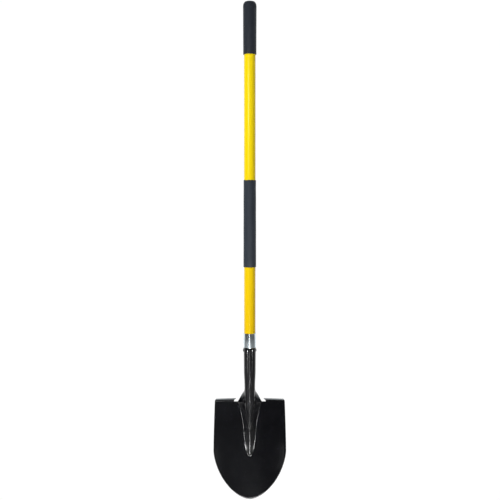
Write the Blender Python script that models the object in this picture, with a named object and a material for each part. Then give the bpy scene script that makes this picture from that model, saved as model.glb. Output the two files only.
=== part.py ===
"""Long-handled round point shovel, standing on its tip with the scooping face towards -Y.

Metres, +Z up, the tip at height zero.  A black stamped steel blade with its socket, steps and
frog in one sheet; a yellow fibreglass handle with a hardwood core in the socket, held by one
cross rivet under a steel collar; a sleeve grip half way up and a closed grip at the top.
"""
import math

import bmesh
import bpy

# Heights above the tip of the blade
TOP = 1.4990
END_GRIP_BOTTOM = 1.3425
MID_GRIP_TOP = 0.9668
MID_GRIP_BOTTOM = 0.7026
COLLAR_TOP = 0.4994
SOCKET_MOUTH = 0.4546
RIVET_Z = 0.4463
SEAM_CLOSED = 0.3315
SHOULDER = 0.2835
WIDEST = 0.1450
FROG_END = 0.1300

# Fits
GAP = 0.0003
FACET_GAP = 0.0004
SHAFT_Y = 0.0131

# Sheet metal
SHEET = 0.0016
SOCKET_OD = 0.0376
SOCKET_KNEE_OD = 0.0364
SOCKET_KNEE_Z = 0.3820
NECK_OD = 0.0327
NECK_Z = 0.3310
SEAM_GAP = 0.0012
NECK_TRIM = 0.0050
NECK_OPENING = 0.8

# Blade outline and dish; the front edge of the tip stands a little above the back edge
TOP_HALF_WIDTH = 0.1080
WIDEST_HALF_WIDTH = 0.1102
CORNER_Z = 0.0700
TIP_Z = 0.0005
POINT_POWER_ACROSS = 1.78
POINT_POWER_DOWN = 1.60
PLATE_Y = 0.0136
LIFT = math.radians(11.0)
BELLY = 0.20
DISH_AT_SHOULDER = 0.87
DISH_AT_WIDEST = 1.85

# Frog, the raised ridge that runs from the socket down the blade
FROG_HALF_WIDTH = 0.0372
FROG_MID_HALF_WIDTH = 0.0200
FROG_MID_Z = 0.1980
FROG_END_HALF_WIDTH = 0.0075
FROG_END_HEIGHT = 0.0030
FROG_FADE = 0.0080
FROG_FLARE_POWER = 1.5
FROG_END_POWER = 0.45
FROG_CREST_RADIUS = 0.0026
FROG_SHARPENS_OVER = 0.0500
FROG_SIDE_BEND = math.radians(57)
STEEPEST_FLANK = math.radians(88)
SIDE_RADIUS = 0.0050
CREASE_RADIUS = 0.0026

# Steps
STEP_INNER = 0.0490
STEP_BEND = 0.0055
STEP_DEPTH = 0.0140
STEP_INNER_SHIFT = 0.0060
STEP_OUTER_CUT = 0.0035

# Handle
TUBE_OD = 0.0349
TUBE_WALL = 0.0042
TUBE_BOTTOM = 0.3480
TUBE_TOP = 1.4824
CORE_BOTTOM = 0.3500
CORE_LENGTH = 0.3048
CORE_CHAMFER = 0.0015
PLUG_FLANGE = 0.0030
PLUG_LENGTH = 0.0250

# Grips, collar and rivet
END_GRIP_OD_LOW = 0.0396
END_GRIP_OD_HIGH = 0.0405
CROWN_FLAT_OD = 0.0230
CROWN_HEIGHT = 0.0145
MID_GRIP_OD_LOW = 0.0385
MID_GRIP_OD_HIGH = 0.0376
LIP_ROUND = 0.0006
COLLAR_OD = 0.0392
COLLAR_SEAM = math.radians(2.5)
RIVET_SHANK_OD = 0.0054
RIVET_HEAD_OD = 0.0116
RIVET_HEAD_HEIGHT = 0.0019
RIVET_PEEN_OD = 0.0092
RIVET_PEEN_HEIGHT = 0.0015

# Mesh density and tolerances
SECTION_SPANS = 13
NOTCH_SPANS = 1
STEP_SPANS = 6
BLADE_ROWS = 22
NECK_ROWS = 12
SOCKET_ROWS = 6
BEND_ROWS = 3
AROUND = 36
FINE_STEPS = 40
GROUND_STEPS = 7
CROWN_SPANS = 6
RIVET_SPANS = 4
HOLE_SIDES = 20
HALVINGS = 40
MERGE_DISTANCE = 1e-6
SMOOTH_BELOW = math.radians(40)
SHEET_SMOOTH_BELOW = math.radians(75)


def clear_scene():
    for old in list(bpy.data.objects):
        bpy.data.objects.remove(old, do_unlink=True)


def material(name, colour, roughness, metallic=0.0):
    """One plain Principled material."""
    made = bpy.data.materials.new(name)
    made.use_nodes = True
    shader = made.node_tree.nodes["Principled BSDF"]
    shader.inputs["Base Color"].default_value = (*colour, 1.0)
    shader.inputs["Roughness"].default_value = roughness
    shader.inputs["Metallic"].default_value = metallic
    made.diffuse_color = (*colour, 1.0)
    return made


def mix(a, b, share):
    return a + (b - a) * share


def smooth(low, high, value):
    """0 at low, 1 at high, easing in and out."""
    share = min(1.0, max(0.0, (value - low) / (high - low)))
    return share * share * (3.0 - 2.0 * share)


def add_mesh(name, verts, faces, look, smooth_below=SMOOTH_BELOW):
    """A named object from points given about the shaft's axis, moved onto the axis."""
    bm = bmesh.new()
    made = [bm.verts.new((x, y + SHAFT_Y, z)) for x, y, z in verts]
    for face in faces:
        bm.faces.new([made[i] for i in face])
    bmesh.ops.remove_doubles(bm, verts=bm.verts, dist=MERGE_DISTANCE)
    bmesh.ops.recalc_face_normals(bm, faces=bm.faces)
    for face in bm.faces:
        face.smooth = True
    for edge in bm.edges:
        if len(edge.link_faces) == 2 and edge.calc_face_angle() > smooth_below:
            edge.smooth = False
    mesh = bpy.data.meshes.new(name)
    bm.to_mesh(mesh)
    bm.free()
    piece = bpy.data.objects.new(name, mesh)
    bpy.context.collection.objects.link(piece)
    mesh.materials.append(look)
    return piece


def turned(name, profile, look, seam=0.0):
    """A piece turned about the shaft from a closed (radius, height) outline.

    With a seam the ring stops short at the back, as a rolled ferrule does.
    """
    spans = AROUND
    sweep = 2.0 * math.pi - seam
    start = 0.5 * math.pi + 0.5 * seam
    count = spans + 1 if seam else spans
    verts, faces = [], []
    for i in range(count):
        angle = start + sweep * i / spans
        for radius, height in profile:
            verts.append((radius * math.cos(angle), radius * math.sin(angle), height))
    n = len(profile)
    for i in range(spans):
        here, there = i * n, ((i + 1) % count) * n
        for k in range(n):
            after = (k + 1) % n
            quad = [here + k, there + k, there + after, here + after]
            on_axis = [profile[k][0] == 0.0, profile[after][0] == 0.0]
            if all(on_axis):
                continue
            if on_axis[0]:
                quad = [here + k, there + after, here + after]
            elif on_axis[1]:
                quad = [here + k, there + k, here + after]
            faces.append(quad)
    if seam:
        faces.append(list(range(n)))
        faces.append([(count - 1) * n + k for k in range(n)])
    return add_mesh(name, verts, faces, look)


def drill(piece, name, diameter):
    """The cross hole for the rivet, with its running clearance."""
    bpy.ops.mesh.primitive_cylinder_add(
        vertices=HOLE_SIDES,
        radius=0.5 * diameter,
        depth=2.0 * SOCKET_OD,
        location=(0.0, SHAFT_Y, RIVET_Z),
        rotation=(0.0, 0.5 * math.pi, 0.0),
    )
    cutter = bpy.context.object
    cutter.name = name
    cutter.hide_render = True
    cutter.display_type = "WIRE"
    hole = piece.modifiers.new("rivet hole", "BOOLEAN")
    hole.operation = "DIFFERENCE"
    hole.solver = "EXACT"
    hole.object = cutter


# --- blade: one stamped sheet -------------------------------------------------------------

def half_width(z):
    """Half the blade's width at a height: nearly straight sides, then a rounded point."""
    if z >= WIDEST:
        share = (z - WIDEST) / (SHOULDER - WIDEST)
        return mix(WIDEST_HALF_WIDTH, TOP_HALF_WIDTH, share * share)
    up = (z - TIP_Z) / (WIDEST - TIP_Z)
    across = max(0.0, 1.0 - (1.0 - up) ** POINT_POWER_DOWN)
    return WIDEST_HALF_WIDTH * across ** (1.0 / POINT_POWER_ACROSS)


def plate_y(x, z):
    """The plate's front face: lifted forward towards the tip and dished from side to side."""
    drop = SHOULDER - z
    dish = mix(DISH_AT_WIDEST, DISH_AT_SHOULDER, smooth(WIDEST, SHOULDER, z))
    return PLATE_Y - math.tan(LIFT) * drop - BELLY * drop * drop - dish * x * x


def frog_section(z):
    """The ridge's half section at a height.

    Returns its half width and height, its crest radius, how far the flank leans beside the
    crest, the slope of the wing outside that, and the wing's length.
    """
    drop = SHOULDER - z
    down = drop / (SHOULDER - FROG_END)
    if z >= FROG_MID_Z:
        share = (z - FROG_MID_Z) / (SHOULDER - FROG_MID_Z)
        half = mix(FROG_MID_HALF_WIDTH, FROG_HALF_WIDTH, share ** FROG_FLARE_POWER)
    else:
        share = max(0.0, (z - FROG_END) / (FROG_MID_Z - FROG_END))
        half = mix(FROG_END_HALF_WIDTH, FROG_MID_HALF_WIDTH, share ** FROG_END_POWER)
    crest_end = plate_y(0.0, FROG_END) - FROG_END_HEIGHT
    height = plate_y(0.0, z) - mix(-0.5 * NECK_OD, crest_end, down)
    if z < FROG_END:
        height = FROG_END_HEIGHT * (1.0 - smooth(0.0, FROG_FADE, FROG_END - z))
    sharp = smooth(0.0, FROG_SHARPENS_OVER, drop)
    crest = mix(0.5 * NECK_OD, FROG_CREST_RADIUS, sharp)
    bend = mix(FROG_SIDE_BEND, 0.0, sharp)
    low, high = 0.0, STEEPEST_FLANK - bend
    for _ in range(HALVINGS):
        slope = 0.5 * (low + high)
        lean = slope + bend
        wing = half - (crest + SIDE_RADIUS) * math.sin(lean)
        wing = (wing + (SIDE_RADIUS - CREASE_RADIUS) * math.sin(slope)) / math.cos(slope)
        depth = crest * (1.0 - math.cos(lean)) + SIDE_RADIUS * (math.cos(slope) - math.cos(lean))
        depth += wing * math.sin(slope) + CREASE_RADIUS * (1.0 - math.cos(slope))
        if depth < height:
            low = slope
        else:
            high = slope
    return half, height, crest, lean, slope, wing


def frog_height(x, z):
    """How far the ridge stands in front of the plate."""
    half, height, crest, lean, slope, _ = frog_section(z)
    x = abs(x)
    if x >= half or height <= 0.0:
        return 0.0
    if x <= crest * math.sin(lean):
        return height - crest + math.sqrt(crest * crest - x * x)
    crease_x = half - CREASE_RADIUS * math.sin(slope)
    if x >= crease_x:
        return CREASE_RADIUS - math.sqrt(CREASE_RADIUS ** 2 - (half - x) ** 2)
    side_x = (crest + SIDE_RADIUS) * math.sin(lean) - SIDE_RADIUS * math.sin(slope)
    rise = CREASE_RADIUS * (1.0 - math.cos(slope))
    if x >= side_x:
        return rise + (crease_x - x) * math.tan(slope)
    rise += (crease_x - side_x) * math.tan(slope)
    turned_by = math.sin(slope) + (side_x - x) / SIDE_RADIUS
    return rise + SIDE_RADIUS * (math.cos(slope) - math.sqrt(1.0 - min(1.0, turned_by) ** 2))


def socket_radius(z):
    """Outer radius of the rolled socket."""
    above = mix(SOCKET_KNEE_OD, SOCKET_OD, (z - SOCKET_KNEE_Z) / (SOCKET_MOUTH - SOCKET_KNEE_Z))
    return 0.5 * mix(NECK_OD, above, smooth(NECK_Z, SOCKET_KNEE_Z, z))


def rolled_half(z):
    """Half of the socket's section, from its front centre round to the back seam.

    At the shoulder it is the frog's open hat section; up to the closed seam its free edges
    curl round until they meet behind.
    """
    _, _, crest, lean, slope, wing = frog_section(SHOULDER)
    bends = [
        (crest * lean, 0.0, lean),
        (SIDE_RADIUS * (lean - slope), lean, slope),
        (wing, slope, slope),
        (CREASE_RADIUS * slope, slope, 0.0),
    ]
    hat = sum(run for run, _, _ in bends)
    down = max(0.0, (SEAM_CLOSED - z) / (SEAM_CLOSED - SHOULDER))
    open_share = down ** NECK_OPENING
    radius = socket_radius(z)
    tube = math.pi * radius - 0.5 * SEAM_GAP
    length = mix(tube, hat, open_share)
    kept = 1.0 - 4.0 * down * (1.0 - down) * NECK_TRIM / length
    steps = SECTION_SPANS * FINE_STEPS
    x, y = 0.0, -radius
    points = [(x, y)]
    for i in range(steps):
        share = kept * (i + 0.5) / steps
        on_hat = share * hat
        for run, start, end in bends:
            if on_hat <= run:
                break
            on_hat -= run
        turn = mix(share * tube / radius, mix(start, end, on_hat / run), open_share)
        x += math.cos(turn) * kept * length / steps
        y += math.sin(turn) * kept * length / steps
        if (i + 1) % FINE_STEPS == 0:
            points.append((x, y))
    return points


def blade_columns():
    """Where the columns of the blade's mesh start along the shoulder, for the half at +X."""
    frog = [x for x, _ in rolled_half(SHOULDER)]
    notch = [mix(frog[-1], STEP_INNER, (i + 1) / NOTCH_SPANS) for i in range(NOTCH_SPANS)]
    step = [mix(STEP_INNER, TOP_HALF_WIDTH, (i + 1) / STEP_SPANS) for i in range(STEP_SPANS)]
    return frog + notch + step


def blade_point(across, down):
    """A point of the plan: a patch between the shoulder, the centre, the side and the point."""
    side_z = mix(SHOULDER, CORNER_Z, down)
    centre_z = mix(SHOULDER, TIP_Z, down)
    corner = half_width(CORNER_Z)
    point_x = corner * across
    low, high = TIP_Z, CORNER_Z
    for _ in range(HALVINGS):
        middle = 0.5 * (low + high)
        if half_width(middle) < point_x:
            low = middle
        else:
            high = middle
    point_z = high if across > 0.0 else TIP_Z
    x = (1.0 - down) * TOP_HALF_WIDTH * across + down * point_x
    x += across * (half_width(side_z) - mix(TOP_HALF_WIDTH, corner, down))
    z = mix(SHOULDER, point_z, down)
    z += mix(centre_z, side_z, across) - mix(SHOULDER, mix(TIP_Z, CORNER_Z, across), down)
    return x, z


def blade_sheet():
    """The front face of the whole stamping as points and quads."""
    columns = blade_columns()
    count = len(columns) - 1
    verts, faces, where = [], [], {}

    def put(key, x, y, z):
        where[key] = len(verts)
        verts.append((x, y, z))

    def quads(rows, low, high):
        for below, above in zip(rows, rows[1:]):
            for side in (1, -1):
                for k in range(low, high):
                    a, b = side * k, side * (k + 1)
                    quad = [where[below, a], where[below, b], where[above, b], where[above, a]]
                    faces.append(quad if side > 0 else quad[::-1])

    for row in range(BLADE_ROWS + 1):
        for k in range(-count, count + 1):
            side = -1.0 if k < 0 else 1.0
            x, z = blade_point(columns[abs(k)] / TOP_HALF_WIDTH, 1.0 - row / BLADE_ROWS)
            put((row, k), side * x, plate_y(x, z) - frog_height(x, z), z)
    quads(range(BLADE_ROWS + 1), 0, count)

    # the socket's rows go on from the frog's columns
    rows = [mix(SHOULDER, SEAM_CLOSED, (i + 1) / NECK_ROWS) for i in range(NECK_ROWS)]
    rows += [mix(SEAM_CLOSED, SOCKET_MOUTH, (i + 1) / SOCKET_ROWS) for i in range(SOCKET_ROWS)]
    for i, z in enumerate(rows):
        half = rolled_half(z)
        for k in range(-SECTION_SPANS, SECTION_SPANS + 1):
            x, y = half[abs(k)]
            put((BLADE_ROWS + 1 + i, k), -x if k < 0 else x, y, z)
    quads(range(BLADE_ROWS, BLADE_ROWS + 1 + len(rows)), 0, SECTION_SPANS)

    # the steps bend back over the outer columns
    first = SECTION_SPANS + NOTCH_SPANS
    for i in range(1, BEND_ROWS + 2):
        turn = 0.5 * math.pi * min(1.0, i / BEND_ROWS)
        back = STEP_BEND * (1.0 - math.cos(turn)) + (STEP_DEPTH if i > BEND_ROWS else 0.0)
        up = STEP_BEND * math.sin(turn)
        far = back / (STEP_BEND + STEP_DEPTH)
        inner = STEP_INNER - STEP_INNER_SHIFT * far
        outer = TOP_HALF_WIDTH - STEP_OUTER_CUT * far
        for side in (1, -1):
            for k in range(first, count + 1):
                share = (columns[k] - STEP_INNER) / (TOP_HALF_WIDTH - STEP_INNER)
                x = mix(inner, outer, share)
                key = (("step", i), side * k)
                put(key, side * x, plate_y(x, SHOULDER) + back, SHOULDER + up)
    quads([BLADE_ROWS] + [("step", i) for i in range(1, BEND_ROWS + 2)], first, count)
    return verts, faces


def build_blade():
    look = material("black enamel", (0.012, 0.012, 0.014), 0.38, 0.3)
    verts, faces = blade_sheet()
    blade = add_mesh("blade", verts, faces, look, SHEET_SMOOTH_BELOW)
    bm = bmesh.new()
    bm.from_mesh(blade.data)
    lowest = min(bm.faces, key=lambda face: face.calc_center_median().z)
    if lowest.normal.y > 0.0:
        bmesh.ops.reverse_faces(bm, faces=bm.faces)
    bm.to_mesh(blade.data)
    bm.free()
    gauge = blade.modifiers.new("gauge", "SOLIDIFY")
    gauge.thickness = SHEET
    gauge.offset = -1.0
    gauge.use_even_offset = True
    gauge.use_rim = True
    drill(blade, "socket drill", RIVET_SHANK_OD + 2.0 * GAP)


# --- handle -------------------------------------------------------------------------------

def build_handle_tube():
    """Pultruded tube, its lower end ground to the taper of the socket."""
    look = material("yellow fibreglass", (0.93, 0.66, 0.01), 0.35)
    outer = 0.5 * TUBE_OD
    bore = outer - TUBE_WALL
    heights = [mix(TUBE_BOTTOM, SOCKET_MOUTH, i / GROUND_STEPS) for i in range(GROUND_STEPS + 1)]
    ground = [(socket_radius(z) - SHEET - FACET_GAP, z) for z in heights]
    profile = [(bore, TUBE_BOTTOM)] + ground
    profile += [(outer, SOCKET_MOUTH + GAP), (outer, TUBE_TOP), (bore, TUBE_TOP)]
    drill(turned("handle_tube", profile, look), "tube drill", RIVET_SHANK_OD + 2.0 * GAP)


def build_core_dowel():
    """Hardwood core glued into the socket end of the tube."""
    look = material("ash core", (0.55, 0.38, 0.20), 0.7)
    radius = 0.5 * TUBE_OD - TUBE_WALL - GAP
    top = CORE_BOTTOM + CORE_LENGTH
    profile = [
        (0.0, CORE_BOTTOM),
        (radius - CORE_CHAMFER, CORE_BOTTOM),
        (radius, CORE_BOTTOM + CORE_CHAMFER),
        (radius, top - CORE_CHAMFER),
        (radius - CORE_CHAMFER, top),
        (0.0, top),
    ]
    drill(turned("core_dowel", profile, look), "core drill", RIVET_SHANK_OD + 2.0 * GAP)


def build_end_plug():
    """Flanged plug that closes the tube under the end grip."""
    look = material("black plug plastic", (0.02, 0.02, 0.022), 0.55)
    body = 0.5 * TUBE_OD - TUBE_WALL - GAP
    seat = TUBE_TOP + GAP
    profile = [
        (0.0, seat - PLUG_LENGTH),
        (body - LIP_ROUND, seat - PLUG_LENGTH),
        (body, seat - PLUG_LENGTH + LIP_ROUND),
        (body, seat),
        (0.5 * TUBE_OD, seat),
        (0.5 * TUBE_OD, seat + PLUG_FLANGE),
        (0.0, seat + PLUG_FLANGE),
    ]
    turned("end_plug", profile, look)


# --- grips --------------------------------------------------------------------------------

def build_mid_grip():
    """Sleeve grip half way up the handle."""
    look = material("mid grip rubber", (0.028, 0.034, 0.045), 0.7)
    bore = 0.5 * TUBE_OD + GAP
    low, high = 0.5 * MID_GRIP_OD_LOW, 0.5 * MID_GRIP_OD_HIGH
    profile = [
        (bore, MID_GRIP_BOTTOM),
        (low - LIP_ROUND, MID_GRIP_BOTTOM),
        (low, MID_GRIP_BOTTOM + LIP_ROUND),
        (high, MID_GRIP_TOP - LIP_ROUND),
        (high - LIP_ROUND, MID_GRIP_TOP),
        (bore, MID_GRIP_TOP),
    ]
    turned("mid_grip", profile, look)


def build_end_grip():
    """Closed grip pulled over the top of the handle, with a rounded crown."""
    look = material("end grip rubber", (0.022, 0.026, 0.032), 0.65)
    bore = 0.5 * TUBE_OD + GAP
    low, high = 0.5 * END_GRIP_OD_LOW, 0.5 * END_GRIP_OD_HIGH
    flat = 0.5 * CROWN_FLAT_OD
    ceiling = TUBE_TOP + PLUG_FLANGE + 3.0 * GAP
    shoulder = []
    for i in range(CROWN_SPANS + 1):
        turn = 0.5 * math.pi * i / CROWN_SPANS
        radius = flat + (high - flat) * math.cos(turn)
        shoulder.append((radius, TOP - CROWN_HEIGHT + CROWN_HEIGHT * math.sin(turn)))
    profile = [
        (0.0, ceiling),
        (bore, ceiling),
        (bore, END_GRIP_BOTTOM),
        (low - LIP_ROUND, END_GRIP_BOTTOM),
        (low, END_GRIP_BOTTOM + LIP_ROUND),
    ]
    turned("end_grip", profile + shoulder + [(0.0, TOP)], look)


# --- collar and rivet ---------------------------------------------------------------------

def build_collar():
    """Rolled steel ferrule that covers the joint above the socket's mouth."""
    look = material("zinc plated collar", (0.62, 0.64, 0.66), 0.3, 1.0)
    bore, outer = 0.5 * TUBE_OD + GAP, 0.5 * COLLAR_OD
    bottom = SOCKET_MOUTH + 2.0 * GAP
    profile = [
        (bore, bottom),
        (outer - LIP_ROUND, bottom),
        (outer, bottom + LIP_ROUND),
        (outer, COLLAR_TOP - LIP_ROUND),
        (outer - LIP_ROUND, COLLAR_TOP),
        (bore, COLLAR_TOP),
    ]
    turned("collar", profile, look, seam=COLLAR_SEAM)


def build_socket_rivet():
    """Cross rivet through socket, tube and core: factory head at -X, peened end at +X."""
    look = material("blackened rivet steel", (0.10, 0.10, 0.11), 0.42, 1.0)
    face = 0.5 * SOCKET_OD + GAP
    shank = 0.5 * RIVET_SHANK_OD
    outline = [(0.0, -face - RIVET_HEAD_HEIGHT)]
    for i in range(1, RIVET_SPANS + 1):
        turn = 0.5 * math.pi * i / RIVET_SPANS
        radius = 0.5 * RIVET_HEAD_OD * math.sin(turn)
        outline.append((radius, -face - RIVET_HEAD_HEIGHT * math.cos(turn)))
    outline += [(shank, -face), (shank, face), (0.5 * RIVET_PEEN_OD, face)]
    for i in range(1, RIVET_SPANS):
        turn = 0.5 * math.pi * i / RIVET_SPANS
        radius = 0.5 * RIVET_PEEN_OD * math.cos(turn)
        outline.append((radius, face + RIVET_PEEN_HEIGHT * math.sin(turn)))
    outline.append((0.0, face + RIVET_PEEN_HEIGHT))
    rivet = turned("socket_rivet", outline, look)
    for vert in rivet.data.vertices:
        x, y, z = vert.co
        vert.co = (z, y, RIVET_Z - x)


clear_scene()
build_blade()
build_handle_tube()
build_core_dowel()
build_end_plug()
build_mid_grip()
build_end_grip()
build_collar()
build_socket_rivet()
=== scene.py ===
"""A long-handled round point shovel on a pale studio floor, built up piece by piece."""
import math

import bpy
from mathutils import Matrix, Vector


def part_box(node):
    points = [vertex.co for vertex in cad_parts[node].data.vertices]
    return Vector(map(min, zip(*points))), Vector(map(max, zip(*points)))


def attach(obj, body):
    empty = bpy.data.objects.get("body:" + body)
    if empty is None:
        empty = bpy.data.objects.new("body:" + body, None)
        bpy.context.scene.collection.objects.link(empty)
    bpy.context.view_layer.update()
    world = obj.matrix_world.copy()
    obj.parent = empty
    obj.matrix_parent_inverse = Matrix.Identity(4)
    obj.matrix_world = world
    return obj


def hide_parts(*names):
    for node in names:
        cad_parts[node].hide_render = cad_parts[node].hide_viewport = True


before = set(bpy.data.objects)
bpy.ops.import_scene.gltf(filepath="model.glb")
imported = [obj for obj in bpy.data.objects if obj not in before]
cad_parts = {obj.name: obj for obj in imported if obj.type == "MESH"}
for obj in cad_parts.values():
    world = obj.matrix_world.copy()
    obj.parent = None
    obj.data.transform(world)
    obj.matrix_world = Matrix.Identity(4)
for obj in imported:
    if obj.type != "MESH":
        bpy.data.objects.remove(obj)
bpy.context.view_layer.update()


# --- blade --------------------------------------------------------------------------------
# One stamping of 1.6 mm steel in satin black enamel: a dished plate with a rounded point, the
# frog pressed up along its middle, the socket rolled from the same sheet with its seam at the
# back, and the top edge turned back on both sides as steps for the boot.

mouth_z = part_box("blade")[1][2]
tube_low, tube_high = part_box("handle_tube")
shaft_y = 0.5 * (tube_low[1] + tube_high[1])
gauge = 0.0016
sheared_edge = 0.0004

# The plate's outline, lift and dish.
shoulder_z = 0.2835
tip_z = 0.0005
widest_z = 0.1450
widest_half = 0.1102
shoulder_half = 0.1080
corner_z = 0.0700
point_power_down = 1.60
point_power_across = 1.78
plate_front = 0.0136
plate_lift = math.radians(11)
belly = 0.2
dish_at_widest = 1.85
dish_at_shoulder = 0.87

# The frog, from the point where it fades into the plate up to the shoulder.
frog_end_z = 0.1300
frog_end_half = 0.0075
frog_end_height = 0.003
frog_fade = 0.008
frog_mid_z = 0.1980
frog_mid_half = 0.0200
shoulder_frog_half = 0.0372
flare_power = 1.5
end_power = 0.45
frog_sharpens_over = 0.05
crest_radius = 0.0026
crease_radius = 0.0026
side_radius = 0.0050
side_bend = math.radians(57)
steepest_flank = math.radians(88)

# The neck, where the sheet rolls up, and the socket with its closed seam above it.
seam_z = 0.3315
neck_radius = 0.01635
neck_z = 0.331
knee_radius = 0.0182
knee_z = 0.382
mouth_radius = 0.0188
seam_half = 0.0006
neck_trim = 0.005
neck_opening = 0.8

# The steps, bent back beyond a relief notch on each side of the frog.
step_inner = 0.0490
step_bend = 0.0055
step_depth = 0.0140
step_inner_shift = 0.006
step_outer_cut = 0.0035

# The mesh: columns counted from the middle outwards, rows from the tip upwards.
halvings = 30
settling_rounds = 5
crest_spans, side_spans, wing_spans, crease_spans = 12, 5, 8, 4
frog_spans = crest_spans + side_spans + wing_spans + crease_spans
notch_spans = 4
step_spans = 16
least_side_share = 0.15
point_widening = 4.5
half_spans = frog_spans + notch_spans + step_spans
point_rows, ridge_end_rows, frog_rows = 34, 14, 46
close_below, close_above = 0.012, 0.006
plate_rows = point_rows + ridge_end_rows + frog_rows
neck_rows, socket_rows = 30, 12
bend_rows, tread_rows = 8, 4


def mix(a, b, share):
    """The value that lies a share of the way from a to b."""
    return a + (b - a) * share


def ease(low, high, value):
    """0 below low, 1 above high and a smooth rise between them."""
    share = min(1.0, max(0.0, (value - low) / (high - low)))
    return share * share * (3.0 - 2.0 * share)


def half_width(z):
    """Half the width of the plate: nearly straight sides above a rounded point."""
    if z >= widest_z:
        share = (z - widest_z) / (shoulder_z - widest_z)
        return mix(widest_half, shoulder_half, share * share)
    up = max(0.0, (z - tip_z) / (widest_z - tip_z))
    return widest_half * (1.0 - (1.0 - up) ** point_power_down) ** (1.0 / point_power_across)


def plate_y(x, z):
    """Front of the plate: lifted 11 degrees, bellied along its length, dished across."""
    drop = shoulder_z - z
    dish = mix(dish_at_widest, dish_at_shoulder, ease(widest_z, shoulder_z, z))
    return plate_front - math.tan(plate_lift) * drop - belly * drop * drop - dish * x * x


def frog_section(z):
    """Half width, height, crest radius, lean of the flank, slope and length of the wing."""
    drop = shoulder_z - z
    if z >= frog_mid_z:
        share = (z - frog_mid_z) / (shoulder_z - frog_mid_z)
        half = mix(frog_mid_half, shoulder_frog_half, share ** flare_power)
    else:
        share = max(0.0, (z - frog_end_z) / (frog_mid_z - frog_end_z))
        half = mix(frog_end_half, frog_mid_half, share ** end_power)
    crest_end = plate_y(0.0, frog_end_z) - frog_end_height
    height = plate_y(0.0, z) - mix(-neck_radius, crest_end, drop / (shoulder_z - frog_end_z))
    if z < frog_end_z:
        height = frog_end_height * (1.0 - ease(0.0, frog_fade, frog_end_z - z))
    sharp = ease(0.0, frog_sharpens_over, drop)
    crest = mix(neck_radius, crest_radius, sharp)
    bend = mix(side_bend, 0.0, sharp)
    low, high = 0.0, steepest_flank - bend
    for _ in range(halvings):
        slope = 0.5 * (low + high)
        lean = slope + bend
        wing = half - (crest + side_radius) * math.sin(lean)
        wing = (wing + (side_radius - crease_radius) * math.sin(slope)) / math.cos(slope)
        depth = crest * (1.0 - math.cos(lean)) + side_radius * (math.cos(slope) - math.cos(lean))
        depth += wing * math.sin(slope) + crease_radius * (1.0 - math.cos(slope))
        if depth < height:
            low = slope
        else:
            high = slope
    return half, height, crest, lean, slope, wing


def frog_height(x, z):
    """How far the pressed ridge stands in front of the plate."""
    half, height, crest, lean, slope, _ = frog_section(z)
    if x >= half or height <= 0.0:
        return 0.0
    if x <= crest * math.sin(lean):
        return height - crest + math.sqrt(crest * crest - x * x)
    crease_x = half - crease_radius * math.sin(slope)
    if x >= crease_x:
        return crease_radius - math.sqrt(crease_radius ** 2 - (half - x) ** 2)
    side_x = (crest + side_radius) * math.sin(lean) - side_radius * math.sin(slope)
    rise = crease_radius * (1.0 - math.cos(slope))
    if x >= side_x:
        return rise + (crease_x - x) * math.tan(slope)
    rise += (crease_x - side_x) * math.tan(slope)
    turned = min(1.0, math.sin(slope) + (side_x - x) / side_radius)
    return rise + side_radius * (math.cos(slope) - math.sqrt(1.0 - turned ** 2))


def frog_column_x(column, z):
    """Where a column of the mesh crosses the ridge, so that columns follow crest and crease."""
    half, _, crest, lean, slope, _ = frog_section(max(z, frog_end_z))
    marks = [0.0, crest * math.sin(lean)]
    marks.append((crest + side_radius) * math.sin(lean) - side_radius * math.sin(slope))
    marks += [half - crease_radius * math.sin(slope), half]
    marks[2] = max(marks[2], mix(marks[1], marks[3], least_side_share))
    spans = [crest_spans, side_spans, wing_spans, crease_spans]
    if z < frog_end_z:
        widening = mix(1.0, point_widening, ease(frog_end_z, tip_z, z))
        marks = [mark * widening for mark in marks]
    left = column
    for low, high, count in zip(marks, marks[1:], spans):
        if left <= count:
            return mix(low, high, left / count)
        left -= count
    return marks[-1]


def socket_radius(z):
    """Outside of the rolled socket, which swells from the neck to the knee and the mouth."""
    taper = mix(knee_radius, mouth_radius, (z - knee_z) / (mouth_z - knee_z))
    return mix(neck_radius, taper, ease(neck_z, knee_z, z))


def rolled_half(z):
    """Half of the socket's section at a height, one point for each column of the frog."""
    _, _, crest, lean, slope, wing = frog_section(shoulder_z)
    bends = [
        (crest * lean, 0.0, lean, crest_spans),
        (side_radius * (lean - slope), lean, slope, side_spans),
        (wing, slope, slope, wing_spans),
        (crease_radius * slope, slope, 0.0, crease_spans),
    ]
    hat = sum(bend[0] for bend in bends)
    down = max(0.0, (seam_z - z) / (seam_z - shoulder_z))
    open_share = down ** neck_opening
    radius = socket_radius(z)
    tube = math.pi * radius - seam_half
    length = mix(tube, hat, open_share)
    kept = 1.0 - 4.0 * down * (1.0 - down) * neck_trim / length
    x, y, on_hat = 0.0, -radius, 0.0
    points = [(x, y)]
    fine = 12
    for run, start, end, spans in bends:
        for i in range(spans * fine):
            along = (i + 0.5) / (spans * fine)
            at = kept * (on_hat + run * along) / hat
            stride = kept * length * run / hat / (spans * fine)
            lean_here = mix(start, end, along)
            turn = mix(at * tube / radius, lean_here, open_share)
            x += math.cos(turn) * stride
            y += math.sin(turn) * stride
            if (i + 1) % fine == 0:
                points.append((x, y))
        on_hat += run
    return points


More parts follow.
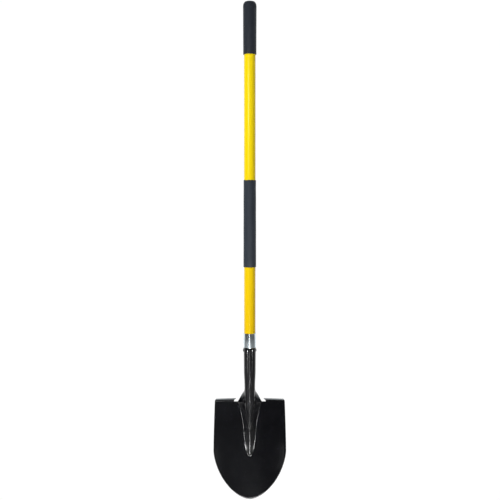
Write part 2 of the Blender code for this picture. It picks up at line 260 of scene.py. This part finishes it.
def plan_point(across, down):
    """A patch stretched between the shoulder, the centre line, the side and the point."""
    side_z = mix(shoulder_z, corner_z, down)
    corner = half_width(corner_z)
    point_x = corner * across
    low, high = tip_z, corner_z
    for _ in range(halvings):
        middle = 0.5 * (low + high)
        if half_width(middle) < point_x:
            low = middle
        else:
            high = middle
    point_z = high if across > 0.0 else tip_z
    x = (1.0 - down) * shoulder_half * across + down * point_x
    x += across * (half_width(side_z) - mix(shoulder_half, corner, down))
    centre_z = mix(shoulder_z, tip_z, down)
    z = mix(shoulder_z, point_z, down)
    z += mix(centre_z, side_z, across) - mix(shoulder_z, mix(tip_z, corner_z, across), down)
    return x, z


def plate_row_down(row):
    """Share of the way down from the shoulder; the rows crowd together at the ridge's end."""
    near_low, near_high = frog_end_z - close_below, frog_end_z + close_above
    if row <= point_rows:
        z = mix(tip_z, near_low, row / point_rows)
    elif row <= point_rows + ridge_end_rows:
        z = mix(near_low, near_high, (row - point_rows) / ridge_end_rows)
    else:
        z = mix(near_high, shoulder_z, (row - point_rows - ridge_end_rows) / frog_rows)
    return (shoulder_z - z) / (shoulder_z - tip_z)


def plate_point(column, row):
    """A point of the plate, for the half at +X."""
    down = plate_row_down(row)
    z = mix(shoulder_z, tip_z, down)
    across, x = 0.0, 0.0
    for _ in range(settling_rounds):
        wanted = frog_column_x(min(column, frog_spans), z)
        across = wanted / shoulder_half if x <= 0.0 else across * wanted / x
        x, z = plan_point(across, down)
    if column > frog_spans:
        inner = across
        notch_end = inner + (step_inner - shoulder_frog_half) / shoulder_half
        if column <= frog_spans + notch_spans:
            across = mix(inner, notch_end, (column - frog_spans) / notch_spans)
        else:
            across = mix(notch_end, 1.0, (column - frog_spans - notch_spans) / step_spans)
        x, z = plan_point(across, down)
    return x, plate_y(x, z) - frog_height(x, z), z


def step_point(column, row):
    """A point of the turned step, round its bend and back over the tread."""
    share = (column - frog_spans - notch_spans) / step_spans
    turn = 0.5 * math.pi * min(1.0, row / bend_rows)
    back = step_bend * (1.0 - math.cos(turn))
    back += step_depth * max(0.0, row - bend_rows) / tread_rows
    far = back / (step_bend + step_depth)
    x = mix(step_inner - step_inner_shift * far, shoulder_half - step_outer_cut * far, share)
    return x, plate_y(x, shoulder_z) + back, shoulder_z + step_bend * math.sin(turn)


def select_only(piece):
    """Makes the piece the only selected and the active object."""
    bpy.ops.object.select_all(action="DESELECT")
    piece.select_set(True)
    bpy.context.view_layer.objects.active = piece


def pick_faces(piece, wanted):
    """Leaves the piece in edit mode with just those faces selected that pass the test."""
    bpy.ops.object.mode_set(mode="EDIT")
    bpy.ops.mesh.select_mode(type="FACE")
    bpy.ops.mesh.select_all(action="DESELECT")
    bpy.ops.object.mode_set(mode="OBJECT")
    for face in piece.data.polygons:
        face.select = wanted(face)
    bpy.ops.object.mode_set(mode="EDIT")


def grid_place(vert):
    """Column, counted from the middle, and row, counted from the tip, of a grid point."""
    column = round((vert.co.x + 0.5) * 2 * half_spans) - half_spans
    return column, round((vert.co.y + 0.5) * all_rows)


def cut_away(face):
    """True for the faces above the shoulder that belong neither to the frog nor to a step."""
    corners = [grid_place(blade.data.vertices[i]) for i in face.vertices]
    outer = max(abs(column) for column, _ in corners)
    above = max(row for _, row in corners) - plate_rows
    on_step = outer > frog_spans + notch_spans and above <= bend_rows + tread_rows
    return above > 0 and outer > frog_spans and not on_step


all_rows = plate_rows + neck_rows + socket_rows
bpy.ops.object.select_all(action="DESELECT")
bpy.ops.mesh.primitive_grid_add(
    x_subdivisions=2 * half_spans, y_subdivisions=all_rows, size=1.0
)
blade = bpy.context.object
blade.name = blade.data.name = "blade_stamping"
pick_faces(blade, cut_away)
bpy.ops.mesh.delete(type="FACE")
bpy.ops.mesh.select_mode(type="VERT")
bpy.ops.object.mode_set(mode="OBJECT")
heights = [mix(shoulder_z, seam_z, (i + 1) / neck_rows) for i in range(neck_rows)]
heights += [mix(seam_z, mouth_z, (i + 1) / socket_rows) for i in range(socket_rows)]
sections = [rolled_half(z) for z in heights]
for vert in blade.data.vertices:
    column, row = grid_place(vert)
    across = abs(column)
    if row <= plate_rows:
        x, y, z = plate_point(across, row)
    elif across <= frog_spans:
        (x, y), z = sections[row - plate_rows - 1][across], heights[row - plate_rows - 1]
    else:
        x, y, z = step_point(across, row - plate_rows)
    vert.co = (math.copysign(x, column), y + shaft_y, z)
select_only(blade)
bpy.ops.object.mode_set(mode="EDIT")
bpy.ops.mesh.select_all(action="SELECT")
bpy.ops.mesh.normals_make_consistent(inside=False)
bpy.ops.object.mode_set(mode="OBJECT")
lowest = min(blade.data.polygons, key=lambda face: face.center.z)
if lowest.normal.y > 0.0:
    bpy.ops.object.mode_set(mode="EDIT")
    bpy.ops.mesh.flip_normals()
    bpy.ops.object.mode_set(mode="OBJECT")
sheet = blade.modifiers.new("gauge", "SOLIDIFY")
sheet.thickness = gauge
sheet.offset = -1.0
sheet.use_even_offset = True
bpy.ops.object.modifier_apply(modifier="gauge")
rounded = blade.modifiers.new("sheared edge", "BEVEL")
rounded.width = sheared_edge
rounded.segments = 2
rounded.limit_method = "ANGLE"
rounded.angle_limit = math.radians(60)
bpy.ops.object.modifier_apply(modifier="sheared edge")
bpy.ops.object.shade_smooth_by_angle(angle=math.radians(50))


def finish(name, metallic=0.0):
    """A new material: itself, its node tree, its Principled shader and object coordinates."""
    made = bpy.data.materials.new(name)
    made.use_nodes = True
    tree = made.node_tree
    shader = tree.nodes["Principled BSDF"]
    shader.inputs["Metallic"].default_value = metallic
    place = tree.nodes.new("ShaderNodeTexCoord")
    return made, tree, shader, place.outputs["Object"]


def grain(tree, where, scale, stretch=(1.0, 1.0, 1.0), detail=4.0):
    """Noise laid over the piece, stretched along the axes by the Mapping node."""
    mapping = tree.nodes.new("ShaderNodeMapping")
    mapping.inputs["Scale"].default_value = stretch
    noise = tree.nodes.new("ShaderNodeTexNoise")
    noise.inputs["Scale"].default_value = scale
    noise.inputs["Detail"].default_value = detail
    tree.links.new(where, mapping.inputs["Vector"])
    tree.links.new(mapping.outputs["Vector"], noise.inputs["Vector"])
    return noise.outputs["Fac"]


def remap(tree, value, from_low, from_high, low, high):
    """Maps a value from one range to another and holds it at both ends."""
    ranged = tree.nodes.new("ShaderNodeMapRange")
    ranged.inputs["From Min"].default_value = from_low
    ranged.inputs["From Max"].default_value = from_high
    ranged.inputs["To Min"].default_value = low
    ranged.inputs["To Max"].default_value = high
    tree.links.new(value, ranged.inputs["Value"])
    return ranged.outputs["Result"]


def polish(tree, shader, value, low, high):
    """Roughness between two values, by the middle of a noise."""
    tree.links.new(remap(tree, value, 0.3, 0.7, low, high), shader.inputs["Roughness"])


def tint(tree, value, dark, light):
    """Blends two colours by the middle of a noise."""
    ramp = tree.nodes.new("ShaderNodeValToRGB")
    ramp.color_ramp.elements[0].position = 0.3
    ramp.color_ramp.elements[0].color = (*dark, 1.0)
    ramp.color_ramp.elements[1].position = 0.7
    ramp.color_ramp.elements[1].color = (*light, 1.0)
    tree.links.new(value, ramp.inputs["Fac"])
    return ramp.outputs["Color"]


def colour(tree, shader, value, dark, light):
    """Base colour between two colours, by a noise."""
    tree.links.new(tint(tree, value, dark, light), shader.inputs["Base Color"])


def relief(tree, shader, value, depth, strength=1.0):
    """Turns a noise into fine relief of the given depth in metres."""
    bump = tree.nodes.new("ShaderNodeBump")
    bump.inputs["Strength"].default_value = strength
    bump.inputs["Distance"].default_value = depth
    tree.links.new(value, bump.inputs["Height"])
    tree.links.new(bump.outputs["Normal"], shader.inputs["Normal"])


enamel, tree, shader, where = finish("black enamel")
mottle = grain(tree, where, 35.0)
colour(tree, shader, mottle, (0.0012, 0.0012, 0.0022), (0.0020, 0.0020, 0.0034))
polish(tree, shader, mottle, 0.14, 0.17)
relief(tree, shader, grain(tree, where, 700.0, detail=2.0), 0.00003, 0.35)
blade.data.materials.append(enamel)
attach(blade, "root")
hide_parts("blade")


# --- socket rivet -------------------------------------------------------------------------
# One darkened steel rivet through socket, tube and core, scuffed bright in places: a domed
# factory head on the left and a smaller head formed by peening on the right.

rivet_low, rivet_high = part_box("socket_rivet")
rivet_z = 0.5 * (rivet_low[2] + rivet_high[2])
rivet_face = 0.0191
shank_radius = 0.0027
head_radius = 0.0058
peen_radius = 0.0046
seed_share = 0.02


def draw_rings(name, rings, sides=96):
    """A round piece about the shaft, drawn up ring by ring; a ring of radius 0 closes it.

    A first ring of radius 0 is drawn as a small disc, a share of the second ring's radius.
    """
    bpy.ops.object.select_all(action="DESELECT")
    radius, height = rings[0]
    start = radius if radius > 0.0 else seed_share * rings[1][0]
    bpy.ops.mesh.primitive_circle_add(
        vertices=sides,
        radius=start,
        location=(0.0, shaft_y, height),
        fill_type="NOTHING" if radius > 0.0 else "TRIFAN",
    )
    piece = bpy.context.object
    piece.name = piece.data.name = name
    bpy.ops.object.transform_apply(location=True, rotation=True, scale=True)
    bpy.ops.object.mode_set(mode="EDIT")
    bpy.ops.mesh.select_all(action="SELECT")
    if radius == 0.0:
        bpy.ops.mesh.region_to_loop()
    radius = start
    for wide, high in rings[1:]:
        bpy.ops.mesh.extrude_region_move(TRANSFORM_OT_translate={"value": (0.0, 0.0, high - height)})
        if wide == 0.0:
            bpy.ops.mesh.merge(type="CENTER")
            break
        bpy.ops.transform.resize(
            value=(wide / radius, wide / radius, 1.0), center_override=(0.0, shaft_y, high)
        )
        radius, height = wide, high
    bpy.ops.mesh.select_all(action="SELECT")
    bpy.ops.mesh.remove_doubles(threshold=0.000001)
    bpy.ops.mesh.normals_make_consistent(inside=False)
    bpy.ops.object.mode_set(mode="OBJECT")
    bpy.ops.object.shade_smooth_by_angle(angle=math.radians(40))
    return piece


def arc(radius, z, wide, high, start, spans):
    """Rings along a quarter of an ellipse about (radius, z), from a start angle in degrees."""
    turns = [math.radians(start + 90.0 * i / spans) for i in range(spans + 1)]
    return [(radius + wide * math.cos(turn), z + high * math.sin(turn)) for turn in turns]


def dome(base, radius, height, spans=8):
    """Rings of a low dome that closes on the axis; a negative height domes downwards."""
    return arc(0.0, base, radius, height, 0.0, spans)[:-1] + [(0.0, base + height)]


head = dome(-rivet_face, head_radius, rivet_low[0] + rivet_face)
peen = dome(rivet_face, peen_radius, rivet_high[0] - rivet_face)
rings = head[::-1] + [(shank_radius, -rivet_face), (shank_radius, rivet_face)] + peen
rivet = draw_rings("rivet_heads", rings, 48)
bpy.ops.object.mode_set(mode="EDIT")
bpy.ops.mesh.select_all(action="SELECT")
bpy.ops.transform.translate(value=(0.0, -shaft_y, 0.0))
bpy.ops.object.mode_set(mode="OBJECT")
rivet.rotation_euler = (0.0, 0.5 * math.pi, 0.0)
rivet.location = (0.0, shaft_y, rivet_z)
bpy.ops.object.transform_apply(location=True, rotation=True, scale=True)
worn, tree, shader, where = finish("rivet steel", 0.85)
wear = grain(tree, where, 420.0)
colour(tree, shader, wear, (0.10, 0.10, 0.105), (0.26, 0.26, 0.27))
polish(tree, shader, wear, 0.36, 0.52)
relief(tree, shader, wear, 0.00008, 0.5)
rivet.data.materials.append(worn)
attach(rivet, "root")
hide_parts("socket_rivet")


# --- handle tube --------------------------------------------------------------------------
# Pultruded fibreglass tube in bright yellow resin, smooth and glossy with the glass rovings
# just visible along it. Its lower end is ground down to sit in the narrowing socket.

tube_radius = 0.5 * (tube_high[0] - tube_low[0])
tube_wall = 0.0042
tube_bore = tube_radius - tube_wall
ground_gap = 0.0004
ground_spans = 8
ground_edge = 0.0003
rings = [(tube_bore, tube_low[2])]
for i in range(ground_spans + 1):
    z = mix(tube_low[2], mouth_z, i / ground_spans)
    rings.append((socket_radius(z) - gauge - ground_gap, z))
rings.append((tube_radius, mouth_z + ground_edge))
rings += [(tube_radius, tube_high[2]), (tube_bore, tube_high[2])]
tube = draw_rings("fibreglass_tube", rings + rings[:1])
resin, tree, shader, where = finish("yellow fibreglass")
rovings = grain(tree, where, 900.0, (1.0, 1.0, 0.012), 3.0)
shader.inputs["Specular IOR Level"].default_value = 0.3
# The base colour runs from a more orange yellow low on the tube to a lemon yellow above about 1 m.
height = tree.nodes.new("ShaderNodeSeparateXYZ")
tree.links.new(where, height.inputs["Vector"])
tone_by_height = tree.nodes.new("ShaderNodeMix")
tone_by_height.data_type = "RGBA"
upward = remap(tree, height.outputs["Z"], 0.55, 1.05, 0.0, 1.0)
amber = tint(tree, rovings, (0.90, 0.575, 0.0010), (0.96, 0.635, 0.0020))
lemon = tint(tree, rovings, (0.90, 0.66, 0.0010), (0.96, 0.73, 0.0020))
tree.links.new(upward, tone_by_height.inputs["Factor"])
tree.links.new(amber, tone_by_height.inputs[6])
tree.links.new(lemon, tone_by_height.inputs[7])
tree.links.new(tone_by_height.outputs[2], shader.inputs["Base Color"])
polish(tree, shader, rovings, 0.17, 0.25)
relief(tree, shader, rovings, 0.00004, 0.25)
tube.data.materials.append(resin)
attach(tube, "root")
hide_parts("handle_tube")


# --- core dowel and end plug --------------------------------------------------------------
# Inside the tube: a turned ash dowel glued into the socket end, and a flanged plastic plug
# that keeps water out of the top. Both keep the shape they have in the frame.

ash, tree, shader, where = finish("ash core")
fibres = grain(tree, where, 260.0, (1.0, 1.0, 0.05), 5.0)
colour(tree, shader, fibres, (0.42, 0.27, 0.13), (0.62, 0.45, 0.26))
polish(tree, shader, fibres, 0.55, 0.75)
relief(tree, shader, fibres, 0.0001, 0.5)
moulded, tree, shader, where = finish("plug plastic")
cast = grain(tree, where, 600.0)
colour(tree, shader, cast, (0.016, 0.016, 0.018), (0.024, 0.024, 0.026))
polish(tree, shader, cast, 0.45, 0.6)
relief(tree, shader, cast, 0.00005, 0.4)
for node, look in (("core_dowel", ash), ("end_plug", moulded)):
    inner_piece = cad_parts[node]
    for slot in inner_piece.material_slots:
        slot.material = look


# --- collar -------------------------------------------------------------------------------
# Zinc-plated ferrule rolled from strip and pressed over the tube just above the socket's
# mouth, its edges turned to a small radius and its open butt seam at the back.

collar_low, collar_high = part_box("collar")
collar_radius = 0.5 * (collar_high[0] - collar_low[0])
sleeve_gap = 0.0003
sleeve_bore = tube_radius + sleeve_gap
lip = 0.0009
burr = 0.0004
seam_reach = 0.0010
low_z, high_z = collar_low[2], collar_high[2]
rings = [(sleeve_bore, low_z + burr), (sleeve_bore + burr, low_z)]
rings += arc(collar_radius - lip, low_z + lip, lip, lip, -90.0, 4)
rings += arc(collar_radius - lip, high_z - lip, lip, lip, 0.0, 4)
rings += [(sleeve_bore + burr, high_z), (sleeve_bore, high_z - burr)]
collar = draw_rings("zinc_collar", rings + rings[:1])
pick_faces(collar, lambda face: face.center.y > shaft_y and 0.0 < face.center.x < seam_reach)
bpy.ops.mesh.delete(type="FACE")
bpy.ops.mesh.select_mode(type="EDGE")
bpy.ops.mesh.select_non_manifold()
bpy.ops.mesh.fill_holes(sides=0)
bpy.ops.mesh.select_all(action="SELECT")
bpy.ops.mesh.normals_make_consistent(inside=False)
bpy.ops.mesh.select_mode(type="VERT")
bpy.ops.object.mode_set(mode="OBJECT")
bpy.ops.object.shade_smooth_by_angle(angle=math.radians(40))
zinc, tree, shader, where = finish("zinc plate", 1.0)
strip = grain(tree, where, 500.0, (1.0, 1.0, 0.04), 5.0)
cloud = grain(tree, where, 60.0)
colour(tree, shader, cloud, (0.68, 0.76, 0.80), (0.78, 0.86, 0.90))
polish(tree, shader, strip, 0.15, 0.21)
relief(tree, shader, strip, 0.000005, 0.15)
collar.data.materials.append(zinc)
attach(collar, "root")
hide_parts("collar")


# --- mid grip -----------------------------------------------------------------------------
# Blue-grey soft sleeve slid over the tube and shrunk tight, very slightly thicker towards its
# lower end, both ends cut square with the edge just broken.

grip_low, grip_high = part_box("mid_grip")
wide = 0.5 * (grip_high[0] - grip_low[0])
narrow = 0.0188
edge = 0.0006
ripple = 0.00012
ripples = 3
sleeve_spans = 12
low_z, high_z = grip_low[2] + edge, grip_high[2] - edge
rings = [(sleeve_bore, grip_low[2])] + arc(wide - edge, low_z, edge, edge, -90.0, 3)
for i in range(1, sleeve_spans):
    share = i / sleeve_spans
    radius = mix(wide, narrow, share) + ripple * math.sin(2.0 * math.pi * ripples * share)
    rings.append((min(wide, radius), mix(low_z, high_z, share)))
rings += arc(narrow - edge, high_z, edge, edge, 0.0, 3) + [(sleeve_bore, grip_high[2])]
mid_grip = draw_rings("sleeve_grip", rings + rings[:1])
sleeve, tree, shader, where = finish("sleeve rubber")
pebble = grain(tree, where, 1400.0, detail=2.0)
scuff = grain(tree, where, 25.0, (1.0, 1.0, 0.3))
colour(tree, shader, scuff, (0.019, 0.026, 0.037), (0.024, 0.032, 0.045))
polish(tree, shader, scuff, 0.55, 0.68)
relief(tree, shader, pebble, 0.0001, 0.5)
mid_grip.data.materials.append(sleeve)
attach(mid_grip, "root")
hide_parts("mid_grip")


# --- end grip -----------------------------------------------------------------------------
# Closed moulded grip pushed over the plugged top of the tube: straight, slightly wider towards
# the top, with a rounded crown, a small flat and a ring of moulded dimples round the shoulder.

end_low, end_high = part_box("end_grip")
top_radius = 0.5 * (end_high[0] - end_low[0])
foot_radius = 0.0198
crown = 0.0145
flat_radius = 0.0115
plug_gap = 0.0006
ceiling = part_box("end_plug")[1][2] + plug_gap
top_z = end_high[2]
shoulder_top = top_z - crown
around = 72
dimple_rows = 3
dimple_pitch = 0.0025
dimple_rise = 0.006
dimple_border = 0.0003
dimple_depth = 0.0004
band_low = shoulder_top - dimple_rows * dimple_pitch
rings = [(0.0, ceiling), (sleeve_bore, ceiling), (sleeve_bore, end_low[2])]
rings += arc(foot_radius - edge, end_low[2] + edge, edge, edge, -90.0, 3)
rings.append((mix(foot_radius, top_radius, 0.5), 0.5 * (end_low[2] + top_z)))
for i in range(dimple_rows + 1):
    rings.append((top_radius, mix(band_low, shoulder_top, i / dimple_rows)))
rings += arc(flat_radius, shoulder_top, top_radius - flat_radius, crown, 0.0, 12)[1:]
rings += [(0.5 * flat_radius, top_z), (0.0, top_z)]
end_grip = draw_rings("end_grip_moulding", rings, around)


def dimpled(face):
    """True for every other face of the band round the grip's shoulder."""
    x, y, z = face.center.x, face.center.y - shaft_y, face.center.z
    sector = round(around * math.atan2(y, x) / (2.0 * math.pi) - 0.5)
    row = int((z - band_low) / dimple_pitch)
    outside = math.hypot(x, y) > sleeve_bore + plug_gap
    in_band = band_low < z < shoulder_top + dimple_rise
    return outside and in_band and (sector + row) % 2 == 0


pick_faces(end_grip, dimpled)
bpy.ops.mesh.inset(thickness=dimple_border, depth=-dimple_depth, use_individual=True)
bpy.ops.mesh.select_mode(type="VERT")
bpy.ops.object.mode_set(mode="OBJECT")
rubber, tree, shader, where = finish("end grip rubber")
pebble = grain(tree, where, 1200.0, detail=2.0)
bloom = grain(tree, where, 30.0)
colour(tree, shader, bloom, (0.013, 0.017, 0.025), (0.018, 0.022, 0.031))
polish(tree, shader, bloom, 0.52, 0.66)
relief(tree, shader, pebble, 0.0001, 0.5)
end_grip.data.materials.append(rubber)
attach(end_grip, "root")
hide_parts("end_grip")


# --- studio -------------------------------------------------------------------------------
# A floor and air that are white to the camera and dark in front for the enamel to mirror, a
# large soft key from the upper left, small strips that only draw highlights, two lights that
# reach the blade alone and pick out the frog's creases, and the camera at chest height.

bpy.ops.object.select_all(action="DESELECT")
bpy.ops.mesh.primitive_circle_add(
    vertices=96, radius=60.0, fill_type="NGON", location=(0.0, 0.0, -0.0002)
)
floor = bpy.context.object
floor.name = "studio_floor"
bpy.ops.object.transform_apply(location=True, rotation=True, scale=True)
pale = bpy.data.materials.new("pale floor")
pale.use_nodes = True
tree = pale.node_tree
tree.nodes.clear()
seen = tree.nodes.new("ShaderNodeLightPath")
paint = tree.nodes.new("ShaderNodeBsdfDiffuse")
paint.inputs["Color"].default_value = (0.35, 0.35, 0.35, 1.0)
glow = tree.nodes.new("ShaderNodeEmission")
glow.inputs["Color"].default_value = (1.0, 1.0, 1.0, 1.0)
glow.inputs["Strength"].default_value = 1.02
spill = tree.nodes.new("ShaderNodeEmission")
place = tree.nodes.new("ShaderNodeTexCoord")
axes = tree.nodes.new("ShaderNodeSeparateXYZ")
lit = tree.nodes.new("ShaderNodeAddShader")
choose = tree.nodes.new("ShaderNodeMixShader")
surface = tree.nodes.new("ShaderNodeOutputMaterial")
tree.links.new(place.outputs["Object"], axes.inputs["Vector"])
rearward = remap(tree, axes.outputs["Y"], 0.1, 1.5, 0.0, 0.9)
tree.links.new(rearward, spill.inputs["Strength"])
tree.links.new(paint.outputs["BSDF"], lit.inputs[0])
tree.links.new(spill.outputs["Emission"], lit.inputs[1])
tree.links.new(seen.outputs["Is Camera Ray"], choose.inputs["Fac"])
tree.links.new(lit.outputs["Shader"], choose.inputs[1])
tree.links.new(glow.outputs["Emission"], choose.inputs[2])
tree.links.new(choose.outputs["Shader"], surface.inputs["Surface"])
floor.data.materials.append(pale)

world = bpy.data.worlds.new("studio air")
bpy.context.scene.world = world
world.use_nodes = True
tree = world.node_tree
paper = tree.nodes["Background"]
paper.inputs["Color"].default_value = (1.0, 1.0, 1.0, 1.0)
paper.inputs["Strength"].default_value = 1.02
air = tree.nodes.new("ShaderNodeBackground")
air.inputs["Color"].default_value = (0.96, 0.98, 1.0, 1.0)
air.inputs["Strength"].default_value = 0.30
mirrored = tree.nodes.new("ShaderNodeBackground")
mirrored.inputs["Color"].default_value = (0.92, 0.97, 1.0, 1.0)
ray = tree.nodes.new("ShaderNodeTexCoord")
axes = tree.nodes.new("ShaderNodeSeparateXYZ")
total = tree.nodes.new("ShaderNodeMath")
seen = tree.nodes.new("ShaderNodeLightPath")
shiny = tree.nodes.new("ShaderNodeMixShader")
choose = tree.nodes.new("ShaderNodeMixShader")
tree.links.new(ray.outputs["Generated"], axes.inputs["Vector"])
behind = remap(tree, axes.outputs["Y"], 0.0, 0.5, 0.0, 0.9)
aside = remap(tree, axes.outputs["X"], -0.3, 0.9, 0.05, 0.22)
tree.links.new(behind, total.inputs[0])
tree.links.new(aside, total.inputs[1])
tree.links.new(total.outputs["Value"], mirrored.inputs["Strength"])
tree.links.new(seen.outputs["Is Glossy Ray"], shiny.inputs["Fac"])
tree.links.new(air.outputs["Background"], shiny.inputs[1])
tree.links.new(mirrored.outputs["Background"], shiny.inputs[2])
tree.links.new(seen.outputs["Is Camera Ray"], choose.inputs["Fac"])
tree.links.new(shiny.outputs["Shader"], choose.inputs[1])
tree.links.new(paper.outputs["Background"], choose.inputs[2])
tree.links.new(choose.outputs["Shader"], tree.nodes["World Output"].inputs["Surface"])


def softbox(name, place, aim, size, watts, mirror):
    """A rectangular light pointed at a place: either soft light only or a mirrored strip only."""
    bpy.ops.object.select_all(action="DESELECT")
    bpy.ops.object.light_add(type="AREA", location=place)
    lamp = bpy.context.object
    lamp.name = name
    lamp.data.shape = "RECTANGLE"
    lamp.data.size, lamp.data.size_y = size
    lamp.data.energy = watts
    across = math.hypot(aim[0] - place[0], aim[1] - place[1])
    turn = math.atan2(place[0] - aim[0], aim[1] - place[1])
    lamp.rotation_euler = (math.atan2(across, place[2] - aim[2]), 0.0, turn)
    lamp.visible_camera = False
    lamp.visible_diffuse = not mirror
    lamp.visible_glossy = mirror
    return lamp


enamel_only = bpy.data.collections.new("lit enamel")
enamel_only.objects.link(blade)
softbox("key", (-1.0, -2.1, 1.25), (0.0, 0.0, 0.85), (1.2, 1.4), 50.0, False)
softbox("top", (0.0, 0.6, 3.0), (0.0, 0.0, 0.0), (2.0, 2.0), 12.0, False)
softbox("crest strip", (-0.02, -0.75, 0.034), (-0.01, 0.0, 0.034), (0.12, 0.06), 0.8, True)
softbox("crest foot panel", (-0.01, -0.66, 0.003), (-0.01, -0.66, 1.0), (0.30, 0.14), 14.0, True)
softbox("socket strip", (-0.028, -0.20, 0.4375), (-0.004, 0.0, 0.4375), (0.014, 0.205), 0.045, True)
softbox("handle strip", (-0.30, -0.7, 1.3), (0.0, 0.0, 1.3), (0.05, 0.24), 0.7, True)
for side, watts in ((-1, 24.0), (1, 15.0)):
    place = (1.76 * side, -1.64, 0.175)
    crease = softbox("crease light", place, (0.0, 0.0, 0.20), (0.33, 0.08), watts, True)
    crease.light_linking.receiver_collection = enamel_only
softbox("back key", (0.9, 2.3, 1.3), (0.0, 0.0, 0.85), (1.2, 1.4), 46.0, False)
softbox("back fill", (-1.3, 2.0, 1.0), (0.0, 0.0, 0.8), (1.0, 1.4), 22.0, False)

bpy.ops.object.camera_add(location=(0.0006, shaft_y - 2.435, 0.9067))
camera = bpy.context.object
camera.name = "studio camera"
camera_tilt = 3.576
camera.rotation_euler = (math.radians(90.0 - camera_tilt), 0.0, 0.0)
camera.data.lens = 57.6
camera.data.sensor_width = 36.0
bpy.context.scene.camera = camera
bpy.context.scene.view_settings.view_transform = "Standard"

bpy.context.view_layer.update()
